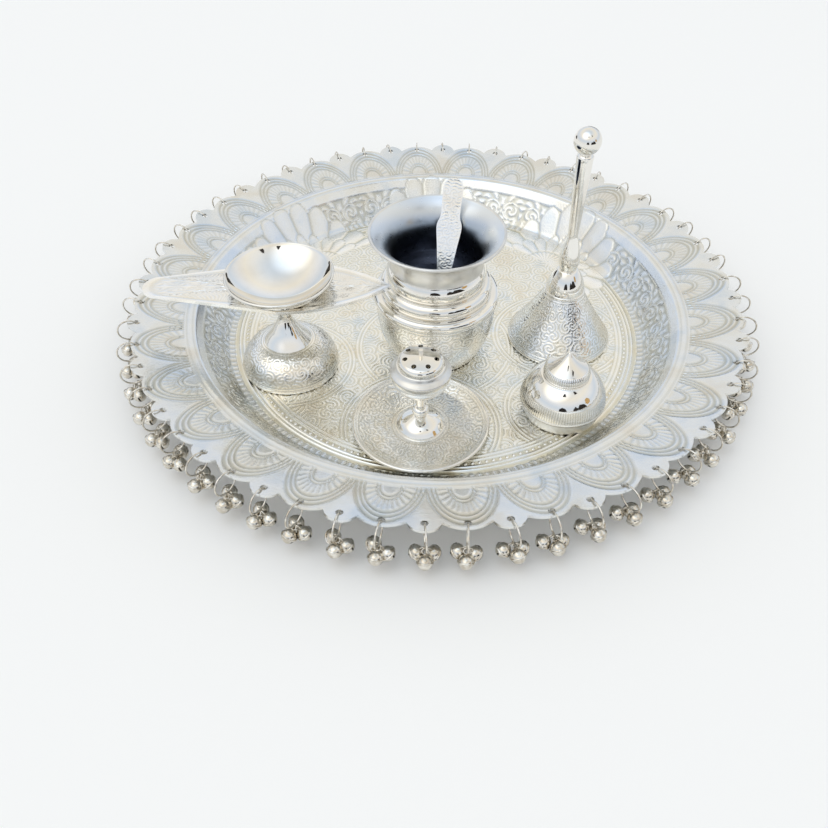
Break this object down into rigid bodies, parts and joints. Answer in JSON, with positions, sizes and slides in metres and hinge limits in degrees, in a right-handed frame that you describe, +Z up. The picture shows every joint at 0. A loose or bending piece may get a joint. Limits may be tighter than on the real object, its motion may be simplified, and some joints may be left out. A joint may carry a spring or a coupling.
{
  "type": "puja thali",
  "caption": "Round scalloped ritual plate hung with jingle bells, carrying a water pot with spoon, oil lamp, hand bell, incense stand and lidded powder box.",
  "frame": {"origin": "middle of the plate's underside, on the plane that the plate stands on", "axes": "+Z up out of the plate, -Y towards the incense stand at the front, +X towards the hand bell"},
  "size_m": [0.3214, 0.3214, 0.1144],
  "materials": {
    "silver_plate": "polished and embossed",
    "antique_silver": "satin"
  },
  "bodies": {
    "plate": {"thali_plate": "silver_plate"},
    "kalash": {"kalash_pot": "silver_plate", "kalash_neck": "silver_plate", "kalash_mouth": "silver_plate"},
    "spoon": {"spoon": "silver_plate"},
    "diya": {"diya_foot": "silver_plate", "diya_stem": "silver_plate", "diya_bowl": "silver_plate", "diya_leaf": "silver_plate"},
    "bell": {"bell_shell": "silver_plate", "bell_handle": "silver_plate", "bell_staple": "silver_plate"},
    "clapper": {"bell_clapper": "silver_plate"},
    "incense": {"incense_dish": "silver_plate", "incense_stem": "silver_plate", "incense_cup": "silver_plate"},
    "incense_dome": {"incense_dome": "silver_plate"},
    "kumkum_box": {"kumkum_box": "silver_plate"},
    "kumkum_lid": {"kumkum_lid": "silver_plate"},
    "rim_drop_01": {"rim_drop_01": "antique_silver"},
    "rim_drop_02": {"rim_drop_02": "antique_silver"},
    "rim_drop_03": {"rim_drop_03": "antique_silver"},
    "rim_drop_04": {"rim_drop_04": "antique_silver"},
    "rim_drop_05": {"rim_drop_05": "antique_silver"},
    "rim_drop_06": {"rim_drop_06": "antique_silver"},
    "rim_drop_07": {"rim_drop_07": "antique_silver"},
    "rim_drop_08": {"rim_drop_08": "antique_silver"},
    "rim_drop_09": {"rim_drop_09": "antique_silver"},
    "rim_drop_10": {"rim_drop_10": "antique_silver"},
    "rim_drop_11": {"rim_drop_11": "antique_silver"},
    "rim_drop_12": {"rim_drop_12": "antique_silver"},
    "rim_drop_13": {"rim_drop_13": "antique_silver"},
    "rim_drop_14": {"rim_drop_14": "antique_silver"},
    "rim_drop_15": {"rim_drop_15": "antique_silver"},
    "rim_drop_16": {"rim_drop_16": "antique_silver"},
    "rim_drop_17": {"rim_drop_17": "antique_silver"},
    "rim_drop_18": {"rim_drop_18": "antique_silver"},
    "rim_drop_19": {"rim_drop_19": "antique_silver"},
    "rim_drop_20": {"rim_drop_20": "antique_silver"},
    "rim_drop_21": {"rim_drop_21": "antique_silver"},
    "rim_drop_22": {"rim_drop_22": "antique_silver"},
    "rim_drop_23": {"rim_drop_23": "antique_silver"},
    "rim_drop_24": {"rim_drop_24": "antique_silver"},
    "rim_drop_25": {"rim_drop_25": "antique_silver"},
    "rim_drop_26": {"rim_drop_26": "antique_silver"},
    "rim_drop_27": {"rim_drop_27": "antique_silver"},
    "rim_drop_28": {"rim_drop_28": "antique_silver"}
  },
  "joints": [
    {"name": "kalash_lift", "type": "slide", "parent": "plate", "child": "kalash", "axis": [0.4202, 0.2701, 0.8663], "range_m": [0, 0.06]},
    {"name": "spoon_lift", "type": "slide", "parent": "kalash", "child": "spoon", "axis": [0, 0, 1], "range_m": [0, 0.08]},
    {"name": "diya_lift", "type": "slide", "parent": "plate", "child": "diya", "axis": [-0.5736, 0, 0.8192], "range_m": [0, 0.1]},
    {"name": "bell_lift", "type": "slide", "parent": "plate", "child": "bell", "axis": [0, 0, 1], "range_m": [0, 0.12]},
    {"name": "clapper_swing", "type": "hinge", "parent": "bell", "child": "clapper", "pos_m": [0.0634, -0.0084, 0.033], "axis": [1, 0, 0], "range_deg": [-28, 28]},
    {"name": "incense_lift", "type": "slide", "parent": "plate", "child": "incense", "axis": [0, -0.2079, 0.9781], "range_m": [0, 0.08]},
    {"name": "incense_dome_lift", "type": "slide", "parent": "incense", "child": "incense_dome", "axis": [0, 0, 1], "range_m": [0, 0.03]},
    {"name": "kumkum_lift", "type": "slide", "parent": "plate", "child": "kumkum_box", "axis": [0, 0, 1], "range_m": [0, 0.06]},
    {"name": "kumkum_lid_lift", "type": "slide", "parent": "kumkum_box", "child": "kumkum_lid", "axis": [0, 0, 1], "range_m": [0, 0.03]},
    {"name": "rim_drop_01_swing", "type": "hinge", "parent": "plate", "child": "rim_drop_01", "pos_m": [0.14408, 0.03367, 0.0234], "axis": [0.2276, -0.9738, 0], "range_deg": [0, 55]},
    {"name": "rim_drop_02_swing", "type": "hinge", "parent": "plate", "child": "rim_drop_02", "pos_m": [0.13298, 0.06489, 0.0234], "axis": [0.4385, -0.8987, 0], "range_deg": [0, 55]},
    {"name": "rim_drop_03_swing", "type": "hinge", "parent": "plate", "child": "rim_drop_03", "pos_m": [0.11521, 0.09285, 0.0234], "axis": [0.6275, -0.7786, 0], "range_deg": [0, 55]},
    {"name": "rim_drop_04_swing", "type": "hinge", "parent": "plate", "child": "rim_drop_04", "pos_m": [0.09166, 0.11616, 0.0234], "axis": [0.7851, -0.6194, 0], "range_deg": [0, 55]},
    {"name": "rim_drop_05_swing", "type": "hinge", "parent": "plate", "child": "rim_drop_05", "pos_m": [0.06351, 0.13365, 0.0234], "axis": [0.9032, -0.4292, 0], "range_deg": [0, 55]},
    {"name": "rim_drop_06_swing", "type": "hinge", "parent": "plate", "child": "rim_drop_06", "pos_m": [0.03218, 0.14443, 0.0234], "axis": [0.9761, -0.2175, 0], "range_deg": [0, 55]},
    {"name": "rim_drop_07_swing", "type": "hinge", "parent": "plate", "child": "rim_drop_07", "pos_m": [-0.00077, 0.14797, 0.0234], "axis": [1, 0.0052, 0], "range_deg": [0, 55]},
    {"name": "rim_drop_08_swing", "type": "hinge", "parent": "plate", "child": "rim_drop_08", "pos_m": [-0.03367, 0.14408, 0.0234], "axis": [0.9738, 0.2276, 0], "range_deg": [0, 55]},
    {"name": "rim_drop_09_swing", "type": "hinge", "parent": "plate", "child": "rim_drop_09", "pos_m": [-0.06489, 0.13298, 0.0234], "axis": [0.8987, 0.4385, 0], "range_deg": [0, 55]},
    {"name": "rim_drop_10_swing", "type": "hinge", "parent": "plate", "child": "rim_drop_10", "pos_m": [-0.09285, 0.11521, 0.0234], "axis": [0.7786, 0.6275, 0], "range_deg": [0, 55]},
    {"name": "rim_drop_11_swing", "type": "hinge", "parent": "plate", "child": "rim_drop_11", "pos_m": [-0.11616, 0.09166, 0.0234], "axis": [0.6194, 0.7851, 0], "range_deg": [0, 55]},
    {"name": "rim_drop_12_swing", "type": "hinge", "parent": "plate", "child": "rim_drop_12", "pos_m": [-0.13365, 0.06351, 0.0234], "axis": [0.4292, 0.9032, 0], "range_deg": [0, 55]},
    {"name": "rim_drop_13_swing", "type": "hinge", "parent": "plate", "child": "rim_drop_13", "pos_m": [-0.14443, 0.03218, 0.0234], "axis": [0.2175, 0.9761, 0], "range_deg": [0, 55]},
    {"name": "rim_drop_14_swing", "type": "hinge", "parent": "plate", "child": "rim_drop_14", "pos_m": [-0.14797, -0.00077, 0.0234], "axis": [-0.0052, 1, 0], "range_deg": [0, 55]},
    {"name": "rim_drop_15_swing", "type": "hinge", "parent": "plate", "child": "rim_drop_15", "pos_m": [-0.14408, -0.03367, 0.0234], "axis": [-0.2276, 0.9738, 0], "range_deg": [0, 55]},
    {"name": "rim_drop_16_swing", "type": "hinge", "parent": "plate", "child": "rim_drop_16", "pos_m": [-0.13298, -0.06489, 0.0234], "axis": [-0.4385, 0.8987, 0], "range_deg": [0, 55]},
    {"name": "rim_drop_17_swing", "type": "hinge", "parent": "plate", "child": "rim_drop_17", "pos_m": [-0.11521, -0.09285, 0.0234], "axis": [-0.6275, 0.7786, 0], "range_deg": [0, 55]},
    {"name": "rim_drop_18_swing", "type": "hinge", "parent": "plate", "child": "rim_drop_18", "pos_m": [-0.09166, -0.11616, 0.0234], "axis": [-0.7851, 0.6194, 0], "range_deg": [0, 55]},
    {"name": "rim_drop_19_swing", "type": "hinge", "parent": "plate", "child": "rim_drop_19", "pos_m": [-0.06351, -0.13365, 0.0234], "axis": [-0.9032, 0.4292, 0], "range_deg": [0, 55]},
    {"name": "rim_drop_20_swing", "type": "hinge", "parent": "plate", "child": "rim_drop_20", "pos_m": [-0.03218, -0.14443, 0.0234], "axis": [-0.9761, 0.2175, 0], "range_deg": [0, 55]},
    {"name": "rim_drop_21_swing", "type": "hinge", "parent": "plate", "child": "rim_drop_21", "pos_m": [0.00077, -0.14797, 0.0234], "axis": [-1, -0.0052, 0], "range_deg": [0, 55]},
    {"name": "rim_drop_22_swing", "type": "hinge", "parent": "plate", "child": "rim_drop_22", "pos_m": [0.03367, -0.14408, 0.0234], "axis": [-0.9738, -0.2276, 0], "range_deg": [0, 55]},
    {"name": "rim_drop_23_swing", "type": "hinge", "parent": "plate", "child": "rim_drop_23", "pos_m": [0.06489, -0.13298, 0.0234], "axis": [-0.8987, -0.4385, 0], "range_deg": [0, 55]},
    {"name": "rim_drop_24_swing", "type": "hinge", "parent": "plate", "child": "rim_drop_24", "pos_m": [0.09285, -0.11521, 0.0234], "axis": [-0.7786, -0.6275, 0], "range_deg": [0, 55]},
    {"name": "rim_drop_25_swing", "type": "hinge", "parent": "plate", "child": "rim_drop_25", "pos_m": [0.11616, -0.09166, 0.0234], "axis": [-0.6194, -0.7851, 0], "range_deg": [0, 55]},
    {"name": "rim_drop_26_swing", "type": "hinge", "parent": "plate", "child": "rim_drop_26", "pos_m": [0.13365, -0.06351, 0.0234], "axis": [-0.4292, -0.9032, 0], "range_deg": [0, 55]},
    {"name": "rim_drop_27_swing", "type": "hinge", "parent": "plate", "child": "rim_drop_27", "pos_m": [0.14443, -0.03218, 0.0234], "axis": [-0.2175, -0.9761, 0], "range_deg": [0, 55]},
    {"name": "rim_drop_28_swing", "type": "hinge", "parent": "plate", "child": "rim_drop_28", "pos_m": [0.14797, 0.00077, 0.0234], "axis": [0.0052, -1, 0], "range_deg": [0, 55]}
  ]
}
